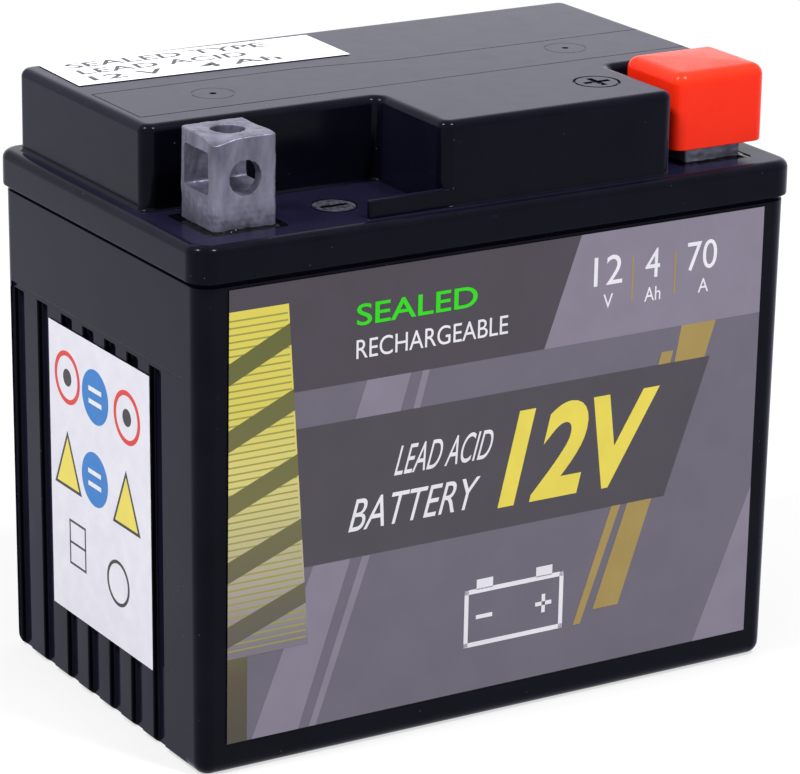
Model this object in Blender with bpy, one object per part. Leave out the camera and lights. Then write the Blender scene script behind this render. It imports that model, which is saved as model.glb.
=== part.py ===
# Sealed 12 V motorcycle battery: case, lid, terminals, vents, labels and six cells.
# Metres, +Z up. The origin is at the middle of the base, +X runs along the long label
# face, -Y points out of that face and the ribbed end with the small label is at -X.

import math

import bmesh
import bpy

# overall sizes
LENGTH = 0.1140                 # over the lid skirt, along X
WIDTH = 0.0710                  # over the lid skirt, along Y
SHOULDER_HEIGHT = 0.0827        # container, up to the lid skirt
BLOCK_RISE = 0.0140             # raised lid block above the rim
GAP = 0.0003                    # between pieces that touch

# container
SKIRT_OVERHANG = 0.00075        # skirt outside the container, each side
DRAFT = 0.00065                 # how far each wall leans in towards the base
NECK_RISE = 0.0043              # container wall above the shoulder, inside the skirt
NECK_INSET = 0.0010
CORNER_RADIUS = 0.0032
BASE_RADIUS = 0.0024
END_WALL = 0.0032
SIDE_WALL = 0.0022
FLOOR = 0.0025
PARTITION = 0.0015
CELLS = 6

# ribbed ends
PANEL_INSET = 0.0005
PANEL_DROP = 0.0163             # shoulder down to the panel's top
PANEL_FRONT_MARGIN = 0.0065
GROOVE_DEPTH = 0.0012
GROOVE_WIDTH = 0.0037
GROOVE_DROP = 0.0022            # panel's top down to the grooves' tops
GROOVES = 7
FIRST_GROOVE_MARGIN = 0.0165    # from the front
LAST_GROOVE_MARGIN = 0.0055     # from the back
WIDE_RIB_EXTRA = 0.0011         # the two rearmost grooves stand this much further apart

# lid
RIM_HEIGHT = 0.0060
RIM_RADIUS = 0.0015
LID_WALL = 0.0020
BLOCK_END_INSET = 0.0028        # from the skirt to the block, at each end
BLOCK_BACK_INSET = 0.0032
BLOCK_FRONT_INSET = 0.0025
NOSE_LENGTH = 0.0447
BLOCK_RADIUS = 0.0022
BLOCK_EDGE = 0.0014
FRONT_RIB_LENGTH = 0.0135
FRONT_RIB_THICKNESS = 0.0012
FRONT_RIB_RISE = 0.0030

# vent channel, cover strip and valves
STRIP_END_INSET = 0.0022
STRIP_MARGIN = 0.0054           # from the recess wall
STRIP_WIDTH = 0.0171
STRIP_THICKNESS = 0.0018
STRIP_SHELF = 0.0015
CHANNEL_DEPTH = 0.0077          # under the strip
SPIGOT_RADIUS = 0.0032
SPIGOT_BORE = 0.0016
SPIGOT_HEIGHT = 0.0040
VALVE_WALL = 0.0008
VALVE_ROOF = 0.0018
VALVE_LIFT = 0.0004
STOP_RADIUS = 0.0025
VENT_SHIFT = 0.0012333          # inwards from the second partition from the middle
VENT_HOLE = 0.0006
ARRESTOR_RADIUS = 0.0031
ARRESTOR_THICKNESS = 0.0012

# terminals
TERMINAL_SIZE = 0.0112
TERMINAL_HEIGHT = 0.0158
TERMINAL_END_INSET = 0.0124     # from the skirt to the terminal's middle
TERMINAL_FRONT_INSET = 0.0125
TERMINAL_SINK = 0.0009          # below the rim
TERMINAL_EDGE = 0.0005
RECESS_CLEARANCE = 0.0045       # terminal to the recess's back wall
NOSE_CLEARANCE = 0.0056         # positive terminal to the nose
NUT_FRONT_WALL = 0.0021
NUT_BACK_WALL = 0.0014
NUT_ROOM = 0.0067               # height of the nut cavity
NUT_ROOF = 0.0026
SCREW_HOLE = 0.00275            # radius of the hole for the screw, front and top
FRONT_HOLE_RISE = 0.0026        # above the nut cavity's floor
SHANK_RADIUS = 0.0035
SHANK_DROP = 0.0050             # below the rim
BOSS_CLEARANCE = 0.0004         # boss under the lid to the container's end wall
BOSS_DROP = 0.0052              # below the rim
PIT_MARGIN = 0.0016             # sealing pit round the terminal
PIT_DEPTH = 0.0013

# red terminal cap
CAP_OVER_X = 0.0069             # longer than the terminal by
CAP_OVER_Y = 0.0052
CAP_SHIFT_X = 0.0005            # the cap sits a little off the terminal's middle
CAP_SHIFT_Y = 0.0012
CAP_RISE = 0.0026               # its lower edge above the rim
CAP_ROOF = 0.0008
CAP_WALL = 0.0009
CAP_CORNER = 0.0022
CAP_RIB = 0.0008

# labels
LABEL_THICKNESS = 0.0002
FRONT_LABEL_MARGIN = 0.0060
FRONT_LABEL_BOTTOM = 0.0054
FRONT_LABEL_DROP = 0.0011
END_LABEL_WIDTH = 0.0355
END_LABEL_Y = 0.0010
END_LABEL_BOTTOM = 0.0130
END_LABEL_DROP = 0.0030
TOP_LABEL_LENGTH = 0.0504
TOP_LABEL_INSET = 0.0283        # from the block's end to the label's middle
TOP_LABEL_BACK_MARGIN = 0.00215
TOP_LABEL_FRONT_MARGIN = 0.00485
TOP_LABEL_TURN = math.radians(-1.6)

# cells
POSITIVES = 3
POSITIVE_PLATE = 0.0016
NEGATIVE_PLATE = 0.0010
MAT = 0.0005                    # glass mat between two plates
PLATE_ROOM = 0.0014             # plate to the side wall
PLATE_LIFT = 0.0009             # plate above the floor
LUG_WIDTH = 0.0060
LUG_HEIGHT = 0.0050
STRAP_DROP = 0.0140             # below the container's top edge
STRAP_THICKNESS = 0.0030
STRAP_WIDTH = 0.0095
TAB = 0.0015                    # upright tab that is welded through the partition
TAB_HEIGHT = 0.0060
LINK_RISE = 0.0030
LINK_RADIUS = 0.0022
POST_RADIUS = 0.0035

# worked out from the sizes above
HALF_TOP_X = LENGTH / 2 - SKIRT_OVERHANG
HALF_TOP_Y = WIDTH / 2 - SKIRT_OVERHANG
HALF_BASE_X = HALF_TOP_X - DRAFT
HALF_BASE_Y = HALF_TOP_Y - DRAFT
INNER_X = HALF_BASE_X - END_WALL
INNER_Y = HALF_BASE_Y - SIDE_WALL
CELL_WIDTH = (2 * INNER_X - (CELLS - 1) * PARTITION) / CELLS
CELL_PITCH = CELL_WIDTH + PARTITION

NECK_HEIGHT = SHOULDER_HEIGHT + NECK_RISE
SKIRT_BOTTOM = SHOULDER_HEIGHT + GAP
RIM_TOP = SKIRT_BOTTOM + RIM_HEIGHT
BLOCK_TOP = RIM_TOP + BLOCK_RISE
FRONT_RIB_TOP = RIM_TOP + FRONT_RIB_RISE
LID_UNDER = NECK_HEIGHT + GAP
PANEL_TOP = SHOULDER_HEIGHT - PANEL_DROP
PANEL_FRONT = WIDTH / 2 - PANEL_FRONT_MARGIN
GROOVE_TOP = PANEL_TOP - GROOVE_DROP
FIRST_GROOVE = FIRST_GROOVE_MARGIN - WIDTH / 2
LAST_GROOVE = WIDTH / 2 - LAST_GROOVE_MARGIN
GROOVE_PITCH = (LAST_GROOVE - FIRST_GROOVE - 2 * WIDE_RIB_EXTRA) / (GROOVES - 1)

TERMINAL_X = LENGTH / 2 - TERMINAL_END_INSET
TERMINAL_Y = TERMINAL_FRONT_INSET - WIDTH / 2
TERMINAL_BOTTOM = RIM_TOP - TERMINAL_SINK
TERMINAL_TOP = TERMINAL_BOTTOM + TERMINAL_HEIGHT
NUT_TOP = TERMINAL_TOP - NUT_ROOF
NUT_BOTTOM = NUT_TOP - NUT_ROOM
FRONT_HOLE_Z = NUT_BOTTOM + FRONT_HOLE_RISE
SHANK_BOTTOM = RIM_TOP - SHANK_DROP
BOSS_BOTTOM = RIM_TOP - BOSS_DROP
BOSS_HALF = INNER_X - BOSS_CLEARANCE - TERMINAL_X
SEAL_TOP = RIM_TOP
CAP_LENGTH = TERMINAL_SIZE + CAP_OVER_X
CAP_DEPTH = TERMINAL_SIZE + CAP_OVER_Y
CAP_BOTTOM = RIM_TOP + CAP_RISE
CAP_TOP = TERMINAL_TOP + GAP + CAP_ROOF

BLOCK_HALF_LENGTH = LENGTH / 2 - BLOCK_END_INSET
BLOCK_BACK = WIDTH / 2 - BLOCK_BACK_INSET
BLOCK_FRONT = BLOCK_FRONT_INSET - WIDTH / 2
RECESS_WALL = TERMINAL_Y + TERMINAL_SIZE / 2 + RECESS_CLEARANCE
NOSE_RIGHT = TERMINAL_X - TERMINAL_SIZE / 2 - NOSE_CLEARANCE
NOSE_LEFT = NOSE_RIGHT - NOSE_LENGTH
FRONT_RIB_LEFT = NOSE_LEFT - FRONT_RIB_LENGTH
STRIP_LEFT = STRIP_END_INSET - BLOCK_HALF_LENGTH
STRIP_FRONT = RECESS_WALL + STRIP_MARGIN
STRIP_BACK = STRIP_FRONT + STRIP_WIDTH
STRIP_Y = (STRIP_FRONT + STRIP_BACK) / 2
STRIP_UNDER = BLOCK_TOP - STRIP_THICKNESS
CHANNEL_FLOOR = STRIP_UNDER - CHANNEL_DEPTH
SPIGOT_TOP = CHANNEL_FLOOR + SPIGOT_HEIGHT
VALVE_RADIUS = SPIGOT_RADIUS + GAP + VALVE_WALL
VALVE_TOP = SPIGOT_TOP + GAP + VALVE_ROOF
VENT_X = 2 * CELL_PITCH - VENT_SHIFT

FRONT_LABEL_LENGTH = LENGTH - 2 * FRONT_LABEL_MARGIN
FRONT_LABEL_TOP = SHOULDER_HEIGHT - FRONT_LABEL_DROP
END_LABEL_TOP = PANEL_TOP - END_LABEL_DROP
TOP_LABEL_X = TOP_LABEL_INSET - BLOCK_HALF_LENGTH
TOP_LABEL_WIDTH = BLOCK_BACK - STRIP_BACK - TOP_LABEL_BACK_MARGIN - TOP_LABEL_FRONT_MARGIN
TOP_LABEL_Y = BLOCK_BACK - TOP_LABEL_BACK_MARGIN - TOP_LABEL_WIDTH / 2

PLATE_WIDTH = 2 * (INNER_Y - PLATE_ROOM)
PLATE_BOTTOM = FLOOR + PLATE_LIFT
STRAP_TOP = NECK_HEIGHT - STRAP_DROP
STRAP_BOTTOM = STRAP_TOP - STRAP_THICKNESS
PLATE_TOP = STRAP_BOTTOM - LUG_HEIGHT
TAB_TOP = STRAP_TOP + TAB_HEIGHT
LINK_Z = STRAP_TOP + LINK_RISE
OVER = 0.0020                   # how far a cutter runs past the face it cuts

BLACK = ("black_plastic", (0.013, 0.013, 0.020), 0.42, 0.0)
LEAD = ("cast_lead", (0.26, 0.26, 0.30), 0.48, 0.85)
RED = ("red_plastic", (0.90, 0.045, 0.015), 0.32, 0.0)
SEALANT = ("black_epoxy", (0.006, 0.006, 0.008), 0.12, 0.0)
RUBBER = ("valve_rubber", (0.03, 0.03, 0.03), 0.80, 0.0)
POROUS = ("porous_disc", (0.75, 0.73, 0.68), 0.90, 0.0)
FRONT_SHEET = ("front_label_sheet", (0.10, 0.09, 0.095), 0.35, 0.0)
WHITE_SHEET = ("white_label_sheet", (0.86, 0.86, 0.90), 0.45, 0.0)
BROWN_PASTE = ("positive_paste", (0.11, 0.05, 0.03), 0.90, 0.0)
GREY_PASTE = ("negative_paste", (0.20, 0.20, 0.21), 0.80, 0.2)
GLASS_MAT = ("glass_mat", (0.82, 0.82, 0.80), 0.95, 0.0)


def clear_scene():
    for old in list(bpy.data.objects):
        bpy.data.objects.remove(old, do_unlink=True)


def finish_of(look):
    name, colour, roughness, metallic = look
    made = bpy.data.materials.get(name)
    if made is None:
        made = bpy.data.materials.new(name)
        made.use_nodes = True
        shader = made.node_tree.nodes["Principled BSDF"]
        shader.inputs["Base Color"].default_value = (*colour, 1.0)
        shader.inputs["Roughness"].default_value = roughness
        shader.inputs["Metallic"].default_value = metallic
        made.diffuse_color = (*colour, 1.0)
    return made


def add_object(name, bm, look=None, at=(0.0, 0.0, 0.0)):
    """Put a finished bmesh into the scene as an object, its faces pointing out."""
    bm.normal_update()
    bmesh.ops.recalc_face_normals(bm, faces=bm.faces)
    mesh = bpy.data.meshes.new(name)
    bm.to_mesh(mesh)
    bm.free()
    piece = bpy.data.objects.new(name, mesh)
    piece.location = at
    bpy.context.collection.objects.link(piece)
    if look is not None:
        mesh.materials.append(finish_of(look))
    return piece


def smooth(piece, angle=35.0):
    piece.data.shade_smooth()
    piece.data.set_sharp_from_angle(angle=math.radians(angle))


def outline(x0, x1, y0, y1, radius, steps):
    """Points of a rectangle with round corners, counter-clockwise."""
    corners = (
        (x1 - radius, y0 + radius, -90),
        (x1 - radius, y1 - radius, 0),
        (x0 + radius, y1 - radius, 90),
        (x0 + radius, y0 + radius, 180),
    )
    points = []
    for cx, cy, start in corners:
        for step in range(steps + 1):
            turn = math.radians(start + 90 * step / steps)
            points.append((cx + radius * math.cos(turn), cy + radius * math.sin(turn)))
    return points


def loft(sections):
    """A closed bmesh through outlines of equal length, each given as (points, z)."""
    bm = bmesh.new()
    rings = [[bm.verts.new((x, y, z)) for x, y in points] for points, z in sections]
    for low, high in zip(rings, rings[1:]):
        for i in range(len(low)):
            j = (i + 1) % len(low)
            bm.faces.new((low[i], low[j], high[j], high[i]))
    bm.faces.new(list(reversed(rings[0])))
    bm.faces.new(rings[-1])
    return bm


def edge_round(radius, steps):
    """(inset, rise) pairs up a quarter round, from the wall to the flat top."""
    turns = [math.radians(90 * step / steps) for step in range(steps + 1)]
    return [(radius * (1 - math.cos(t)), radius * math.sin(t)) for t in turns]


def round_block(x0, x1, y0, y1, z0, z1, corner, edge, steps=3):
    """A block with round upright corners and a round top edge."""
    sections = [(outline(x0, x1, y0, y1, corner, steps), z0)]
    for inset, rise in edge_round(edge, steps):
        ring = outline(x0 + inset, x1 - inset, y0 + inset, y1 - inset, corner - inset, steps)
        sections.append((ring, z1 - edge + rise))
    return loft(sections)


def box(x0, x1, y0, y1, z0, z1):
    bm = bmesh.new()
    bmesh.ops.create_cube(bm, size=1.0)
    for vert in bm.verts:
        vert.co.x = x1 if vert.co.x > 0 else x0
        vert.co.y = y1 if vert.co.y > 0 else y0
        vert.co.z = z1 if vert.co.z > 0 else z0
    return bm


def cylinder(radius, low, high, sides=16, along="Z", at=(0.0, 0.0)):
    """A cylinder from low to high along one axis; at holds its other two coordinates."""
    ring = [2 * math.pi * (i + 0.5) / sides for i in range(sides)]
    flat = [(radius * math.cos(t), radius * math.sin(t)) for t in ring]
    bm = loft([(flat, low), (flat, high)])
    for vert in bm.verts:
        a, b, c = vert.co
        if along == "Z":
            vert.co = (a + at[0], b + at[1], c)
        elif along == "X":
            vert.co = (c, a + at[0], b + at[1])
        else:
            vert.co = (a + at[0], c, b + at[1])
    return bm


def leaning_slab(side, inner, outer, a0, a1, z0, z1):
    """A slab parallel to a leaning container wall.

    side is the wall's outward axis and sign, such as "-X"; inner and outer are distances
    from that wall's surface, outwards positive; a0 to a1 run along the wall.
    """
    bm = box(0.0, 1.0, a0, a1, z0, z1)
    sign = -1.0 if side[0] == "-" else 1.0
    half_top = HALF_TOP_X if side[1] == "X" else HALF_TOP_Y
    for vert in bm.verts:
        surface = half_top - DRAFT * (1 - vert.co.z / SHOULDER_HEIGHT)
        out = sign * (surface + (outer if vert.co.x > 0.5 else inner))
        along = vert.co.y
        vert.co = (out, along, vert.co.z) if side[1] == "X" else (along, out, vert.co.z)
    return bm


def combine(target, tools, operation):
    """Boolean tools into a target; the tools stay as hidden guides."""
    for bm in tools:
        tool = add_object(target.name + "_tool", bm)
        tool.hide_render = True
        tool.display_type = "WIRE"
        tool.hide_set(True)
        step = target.modifiers.new("Boolean", "BOOLEAN")
        step.operation = operation
        step.solver = "EXACT"
        step.object = tool


def cut(target, *tools):
    combine(target, tools, "DIFFERENCE")


def join(target, *tools):
    combine(target, tools, "UNION")


def cell_left(cell):
    return -INNER_X + cell * CELL_PITCH


def cell_middle(cell):
    return cell_left(cell) + CELL_WIDTH / 2


def wall_outline(z, inset=0.0):
    lean = DRAFT * max(0.0, 1 - z / SHOULDER_HEIGHT)
    half_x = HALF_TOP_X - lean - inset
    half_y = HALF_TOP_Y - lean - inset
    return outline(-half_x, half_x, -half_y, half_y, max(CORNER_RADIUS - inset, 0.0006), 4)


def groove_middles():
    places = []
    for number in range(GROOVES):
        behind = max(0, number - (GROOVES - 3))
        places.append(FIRST_GROOVE + number * GROOVE_PITCH + behind * WIDE_RIB_EXTRA)
    return places


def make_container():
    panel_back = groove_middles()[-1] + GROOVE_WIDTH / 2
    sections = []
    for inset, rise in reversed(edge_round(BASE_RADIUS, 3)):
        z = BASE_RADIUS - rise
        sections.append((wall_outline(z, inset), z))
    sections.append((wall_outline(SHOULDER_HEIGHT), SHOULDER_HEIGHT))
    sections.append((wall_outline(SHOULDER_HEIGHT, NECK_INSET), SHOULDER_HEIGHT))
    sections.append((wall_outline(SHOULDER_HEIGHT, NECK_INSET), NECK_HEIGHT))
    container = add_object("container", loft(sections), BLACK)
    for cell in range(CELLS):
        left = cell_left(cell)
        cut(container, box(left, left + CELL_WIDTH, -INNER_Y, INNER_Y, FLOOR, NECK_HEIGHT + OVER))
    for wall in range(1, CELLS):
        middle = cell_left(wall) - PARTITION / 2
        hole = cylinder(LINK_RADIUS + GAP, middle - PARTITION, middle + PARTITION, 12, "X",
                        (link_y(wall), LINK_Z))
        cut(container, hole)
    for side in ("-X", "+X"):
        cut(container, leaning_slab(side, -PANEL_INSET, OVER, -PANEL_FRONT, panel_back,
                                    -OVER, PANEL_TOP))
        for middle in groove_middles():
            cut(container, leaning_slab(side, -PANEL_INSET - GROOVE_DEPTH, OVER,
                                        middle - GROOVE_WIDTH / 2, middle + GROOVE_WIDTH / 2,
                                        -OVER, GROOVE_TOP))
    return container


def make_lid():
    half_x, half_y = LENGTH / 2, WIDTH / 2
    rim = round_block(-half_x, half_x, -half_y, half_y, SKIRT_BOTTOM, RIM_TOP,
                      CORNER_RADIUS + SKIRT_OVERHANG, RIM_RADIUS)
    lid = add_object("lid", rim, BLACK)
    sink = RIM_TOP - OVER / 2
    join(lid, round_block(-BLOCK_HALF_LENGTH, BLOCK_HALF_LENGTH, RECESS_WALL, BLOCK_BACK,
                          sink, BLOCK_TOP, BLOCK_RADIUS, BLOCK_EDGE))
    join(lid, round_block(NOSE_LEFT, NOSE_RIGHT, BLOCK_FRONT, RECESS_WALL + 2 * BLOCK_RADIUS,
                          sink, BLOCK_TOP, BLOCK_RADIUS, BLOCK_EDGE))
    join(lid, box(FRONT_RIB_LEFT, NOSE_LEFT + BLOCK_RADIUS, BLOCK_FRONT,
                  BLOCK_FRONT + FRONT_RIB_THICKNESS, sink, FRONT_RIB_TOP))

    # underside: the neck pocket, then hollows under the block, all open below
    neck_x = HALF_TOP_X - NECK_INSET + GAP
    neck_y = HALF_TOP_Y - NECK_INSET + GAP
    pocket = outline(-neck_x, neck_x, -neck_y, neck_y, CORNER_RADIUS - NECK_INSET + GAP, 4)
    cut(lid, loft([(pocket, SKIRT_BOTTOM - OVER), (pocket, LID_UNDER)]))
    hollow_x = BLOCK_HALF_LENGTH - LID_WALL
    hollow_top = BLOCK_TOP - LID_WALL
    low = LID_UNDER - OVER / 2
    cut(lid, box(-hollow_x, hollow_x, STRIP_BACK + LID_WALL, BLOCK_BACK - LID_WALL, low, hollow_top))
    cut(lid, box(NOSE_LEFT + LID_WALL, NOSE_RIGHT - LID_WALL, BLOCK_FRONT + LID_WALL,
                 STRIP_FRONT - LID_WALL, low, hollow_top))
    cut(lid, box(-hollow_x, hollow_x, STRIP_FRONT - LID_WALL - GAP, STRIP_BACK + LID_WALL + GAP,
                 low, CHANNEL_FLOOR - LID_WALL))

    # vent channel with its six spigots, and the rebate that the cover strip lies in
    cut(lid, box(STRIP_LEFT + STRIP_SHELF, hollow_x, STRIP_FRONT + STRIP_SHELF,
                 STRIP_BACK - STRIP_SHELF, CHANNEL_FLOOR, BLOCK_TOP + OVER))
    cut(lid, box(STRIP_LEFT, BLOCK_HALF_LENGTH + OVER, STRIP_FRONT, STRIP_BACK,
                 STRIP_UNDER - GAP, BLOCK_TOP + OVER))
    for cell in range(CELLS):
        at = (cell_middle(cell), STRIP_Y)
        join(lid, cylinder(SPIGOT_RADIUS, CHANNEL_FLOOR - LID_WALL / 2, SPIGOT_TOP, 16, "Z", at))
        cut(lid, cylinder(SPIGOT_BORE, CHANNEL_FLOOR - LID_WALL - OVER, SPIGOT_TOP + OVER, 10,
                          "Z", at))

    # terminal bosses, sealing pits and shank holes
    for x in (-TERMINAL_X, TERMINAL_X):
        at = (x, TERMINAL_Y)
        square = outline(x - BOSS_HALF, x + BOSS_HALF, TERMINAL_Y - BOSS_HALF,
                         TERMINAL_Y + BOSS_HALF, BLOCK_RADIUS, 3)
        boss_top = (LID_UNDER + RIM_TOP - PIT_DEPTH) / 2
        join(lid, loft([(square, BOSS_BOTTOM), (square, boss_top)]))
        half = TERMINAL_SIZE / 2 + PIT_MARGIN
        cut(lid, box(x - half, x + half, TERMINAL_Y - half, TERMINAL_Y + half,
                     RIM_TOP - PIT_DEPTH, RIM_TOP + OVER / 2))
        cut(lid, cylinder(SHANK_RADIUS + GAP, BOSS_BOTTOM - OVER, RIM_TOP, 16, "Z", at))
    return lid


def make_vent_cover():
    strip = box(STRIP_LEFT + GAP, BLOCK_HALF_LENGTH, STRIP_FRONT + GAP, STRIP_BACK - GAP,
                STRIP_UNDER, BLOCK_TOP)
    cover = add_object("vent_cover", strip, BLACK)
    stop_bottom = VALVE_TOP + VALVE_LIFT + GAP / 3
    for cell in range(CELLS):
        join(cover, cylinder(STOP_RADIUS, stop_bottom, STRIP_UNDER + STRIP_THICKNESS / 2, 12, "Z",
                             (cell_middle(cell), STRIP_Y)))
    for x in (-VENT_X, VENT_X):
        cut(cover, cylinder(ARRESTOR_RADIUS + GAP, STRIP_UNDER - OVER,
                            STRIP_UNDER + ARRESTOR_THICKNESS - GAP, 20, "Z", (x, STRIP_Y)))
        cut(cover, cylinder(VENT_HOLE, STRIP_UNDER, BLOCK_TOP + OVER, 10, "Z", (x, STRIP_Y)))
    return cover


def make_arrestors():
    top = STRIP_UNDER + ARRESTOR_THICKNESS - 2 * GAP
    for name, x in (("flame_arrestor_left", -VENT_X), ("flame_arrestor_right", VENT_X)):
        disc = cylinder(ARRESTOR_RADIUS, top - ARRESTOR_THICKNESS, top, 20, "Z", (x, STRIP_Y))
        smooth(add_object(name, disc, POROUS))


def make_valve_caps():
    """Rubber caps over the spigots; each origin is on the axis along which it lifts."""
    bottom = CHANNEL_FLOOR + GAP
    for cell in range(CELLS):
        at = (cell_middle(cell), STRIP_Y, bottom)
        cap = add_object("valve_cap_%d" % (cell + 1),
                         cylinder(VALVE_RADIUS, 0.0, VALVE_TOP - bottom, 16), RUBBER, at)
        inside = SPIGOT_TOP + GAP - bottom
        tool = cylinder(SPIGOT_RADIUS + GAP, -OVER, inside, 16)
        bmesh.ops.translate(tool, verts=tool.verts, vec=at)
        cut(cap, tool)


def terminal_body(name, x):
    half = TERMINAL_SIZE / 2
    y0, y1 = TERMINAL_Y - half, TERMINAL_Y + half
    body = round_block(x - half, x + half, y0, y1, TERMINAL_BOTTOM, TERMINAL_TOP,
                       2 * TERMINAL_EDGE, TERMINAL_EDGE, 2)
    piece = add_object(name, body, LEAD)
    join(piece, cylinder(SHANK_RADIUS, SHANK_BOTTOM, TERMINAL_BOTTOM + OVER / 2, 16, "Z",
                         (x, TERMINAL_Y)))
    cut(piece, box(x - half - OVER, x + half + OVER, y0 + NUT_FRONT_WALL, y1 - NUT_BACK_WALL,
                   NUT_BOTTOM, NUT_TOP))
    nut_y = (y0 + NUT_FRONT_WALL + y1 - NUT_BACK_WALL) / 2
    cut(piece, cylinder(SCREW_HOLE, y0 - OVER, nut_y, 20, "Y", (x, FRONT_HOLE_Z)))
    cut(piece, cylinder(SCREW_HOLE, (NUT_BOTTOM + NUT_TOP) / 2, TERMINAL_TOP + OVER, 20, "Z",
                        (x, nut_y)))
    return piece


def make_seal(name, x):
    """The ring of potting compound round a terminal, in its pit."""
    outer = TERMINAL_SIZE / 2 + PIT_MARGIN - GAP
    inner = TERMINAL_SIZE / 2 + GAP
    bottom = RIM_TOP - PIT_DEPTH + GAP
    ring = box(x - outer, x + outer, TERMINAL_Y - outer, TERMINAL_Y + outer, bottom, SEAL_TOP)
    seal = add_object(name, ring, SEALANT)
    cut(seal, box(x - inner, x + inner, TERMINAL_Y - inner, TERMINAL_Y + inner,
                  bottom - OVER, SEAL_TOP + OVER))


def make_post(name, x):
    """The lead post from a strap up to the terminal's shank."""
    post = cylinder(POST_RADIUS, STRAP_TOP + GAP, SHANK_BOTTOM - GAP, 16, "Z", (x, TERMINAL_Y))
    smooth(add_object(name, post, LEAD))


def make_terminals():
    for sign, pole in ((-1, "negative"), (1, "positive")):
        x = sign * TERMINAL_X
        terminal_body(pole + "_terminal", x)
        make_seal(pole + "_seal", x)
        make_post(pole + "_post", x)


def make_terminal_cap():
    """The red cap: open below, with ribs that grip the terminal. It pulls off along +Z."""
    at = (TERMINAL_X, TERMINAL_Y, CAP_BOTTOM)
    x0, x1 = CAP_SHIFT_X - CAP_LENGTH / 2, CAP_SHIFT_X + CAP_LENGTH / 2
    y0, y1 = CAP_SHIFT_Y - CAP_DEPTH / 2, CAP_SHIFT_Y + CAP_DEPTH / 2
    height = CAP_TOP - CAP_BOTTOM
    cap = add_object("terminal_cap",
                     round_block(x0, x1, y0, y1, 0.0, height, CAP_CORNER + CAP_WALL, CAP_CORNER, 4),
                     RED, at)
    roof = height - CAP_ROOF
    inside = round_block(x0 + CAP_WALL, x1 - CAP_WALL, y0 + CAP_WALL, y1 - CAP_WALL, -OVER, roof,
                         CAP_CORNER, CAP_CORNER - CAP_ROOF, 2)
    bmesh.ops.translate(inside, verts=inside.verts, vec=at)
    cut(cap, inside)

    # each rib runs from a wall to just short of the terminal, clear of the nut cavity
    reach = TERMINAL_SIZE / 2 + GAP
    rib_y = TERMINAL_SIZE / 2 - NUT_BACK_WALL / 2
    wall = CAP_WALL / 2
    ribs = []
    for y in (-rib_y, rib_y):
        ribs.append((x0 + wall, -reach, y - CAP_RIB / 2, y + CAP_RIB / 2))
        ribs.append((reach, x1 - wall, y - CAP_RIB / 2, y + CAP_RIB / 2))
    ribs.append((-CAP_RIB / 2, CAP_RIB / 2, y0 + wall, -reach))
    ribs.append((-CAP_RIB / 2, CAP_RIB / 2, reach, y1 - wall))
    for a0, a1, b0, b1 in ribs:
        rib = box(a0, a1, b0, b1, OVER, height - CAP_CORNER)
        bmesh.ops.translate(rib, verts=rib.verts, vec=at)
        join(cap, rib)


def make_labels():
    front = leaning_slab("-Y", GAP, GAP + LABEL_THICKNESS, -FRONT_LABEL_LENGTH / 2,
                         FRONT_LABEL_LENGTH / 2, FRONT_LABEL_BOTTOM, FRONT_LABEL_TOP)
    add_object("front_label", front, FRONT_SHEET)
    end_inner = GAP - PANEL_INSET
    end = leaning_slab("-X", end_inner, end_inner + LABEL_THICKNESS,
                       END_LABEL_Y - END_LABEL_WIDTH / 2, END_LABEL_Y + END_LABEL_WIDTH / 2,
                       END_LABEL_BOTTOM, END_LABEL_TOP)
    add_object("end_label", end, WHITE_SHEET)
    bottom = BLOCK_TOP + GAP
    sheet = box(-TOP_LABEL_LENGTH / 2, TOP_LABEL_LENGTH / 2, -TOP_LABEL_WIDTH / 2,
                TOP_LABEL_WIDTH / 2, bottom, bottom + LABEL_THICKNESS)
    top = add_object("top_label", sheet, WHITE_SHEET, (TOP_LABEL_X, TOP_LABEL_Y, 0.0))
    top.rotation_euler.z = TOP_LABEL_TURN


def link_y(wall):
    """The side on which the cells left and right of a partition are joined."""
    return TERMINAL_Y if wall % 2 == 0 else -TERMINAL_Y


def plate_pitch():
    """Distance between the middles of two neighbouring plates, positive to negative."""
    return (POSITIVE_PLATE + NEGATIVE_PLATE) / 2 + MAT + 2 * GAP


def plate_middles(cell, positive):
    first = cell_middle(cell) - POSITIVES * plate_pitch()
    count = POSITIVES if positive else POSITIVES + 1
    start = first + plate_pitch() if positive else first
    return [start + 2 * plate_pitch() * number for number in range(count)]


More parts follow.
